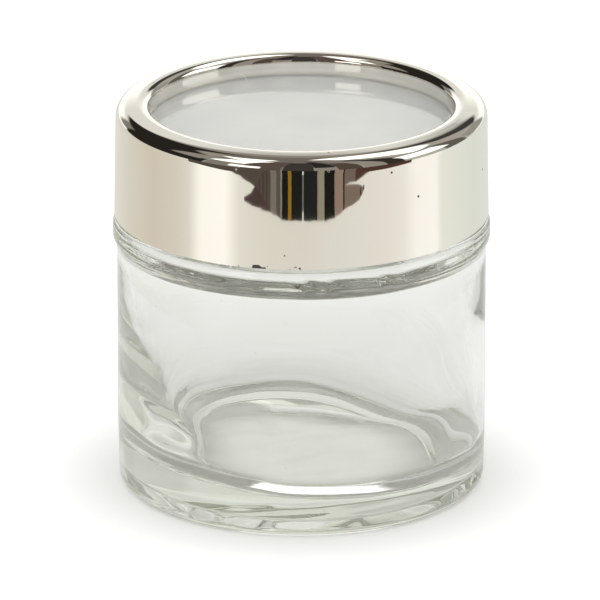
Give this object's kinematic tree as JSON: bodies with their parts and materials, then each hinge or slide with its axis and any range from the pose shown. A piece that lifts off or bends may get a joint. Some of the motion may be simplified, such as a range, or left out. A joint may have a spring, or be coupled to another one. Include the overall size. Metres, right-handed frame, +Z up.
{
  "type": "glass dappen jar with screw lid",
  "caption": "Small clear glass jar with a rounded inside floor, a glass bead under the lid and a metallised screw ring lid holding a clear window.",
  "frame": {"origin": "middle of the ring that the jar stands on, at the bottom of the object", "axes": "+Z up along the jar's axis, which is also the screw axis of the lid; X and Y are level, and the glass thread starts over +X"},
  "size_m": [0.0454, 0.0454, 0.0474],
  "materials": {
    "clear_glass": "clear soda-lime glass, faint green-grey tint, fire polished",
    "soft_seal": "soft white elastomer, satin",
    "natural_plastic": "natural moulded polypropylene, satin",
    "clear_plastic": "clear moulded window, polished",
    "metallised_plastic": "moulded plastic, vacuum metallised warm nickel, mirror gloss with small pits"
  },
  "bodies": {
    "jar": {"glass_jar": "clear_glass"},
    "seal": {"sealing_ring": "soft_seal"},
    "lid": {"lid_shell": "metallised_plastic", "window_disc": "clear_plastic", "threaded_insert": "natural_plastic"}
  },
  "joints": [
    {"name": "lid_rise", "type": "slide", "parent": "jar", "child": "seal", "axis": [0, 0, 1], "range_m": [0, 0.0096]},
    {"name": "lid_turn", "type": "hinge", "parent": "seal", "child": "lid", "pos_m": [0, 0, 0.0416], "axis": [0, 0, 1], "range_deg": [0, 810]}
  ],
  "couplings": [
    {"joint": "lid_rise", "follows": "lid_turn", "m_per_rad": 0.0006737}
  ]
}
